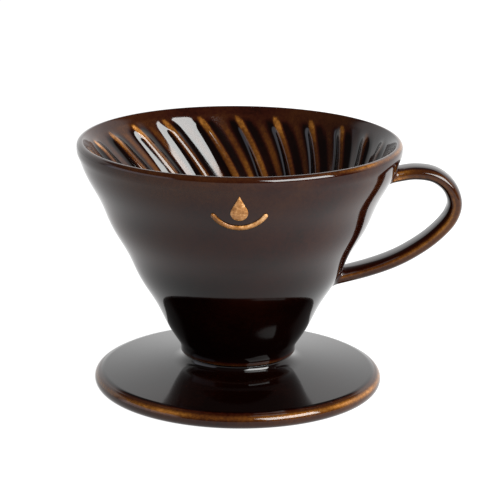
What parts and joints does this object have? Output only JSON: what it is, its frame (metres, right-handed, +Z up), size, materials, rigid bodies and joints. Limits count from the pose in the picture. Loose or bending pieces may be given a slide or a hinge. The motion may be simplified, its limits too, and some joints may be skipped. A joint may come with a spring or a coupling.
{
  "type": "pour over dripper",
  "caption": "Glazed ceramic cone dripper with spiral ribs inside, a drain hole, a round plate that rests on a cup or server, a drip collar and a strap handle.",
  "frame": {"origin": "on the floor under the collar's foot, in the middle of the whole object's box; the cone's upright axis passes at x = -0.01095", "axes": "+Z up along the cone's axis, +X towards the handle, -Y towards the relief on the front"},
  "size_m": [0.1377, 0.116, 0.1019],
  "materials": {
    "dark_glaze": "glossy dark brown glaze, breaking to amber on the edges",
    "amber_glaze": "glossy, thin over the edges",
    "bare_clay": "unglazed, matt"
  },
  "bodies": {
    "root": {"cone_body": "dark_glaze", "neck_ring": "amber_glaze", "base_plate": "dark_glaze", "drip_collar": "bare_clay", "handle": "dark_glaze", "handle_root_upper": "dark_glaze", "handle_root_lower": "dark_glaze", "mark_drop": "amber_glaze", "mark_bowl": "amber_glaze"}
  },
  "joints": []
}
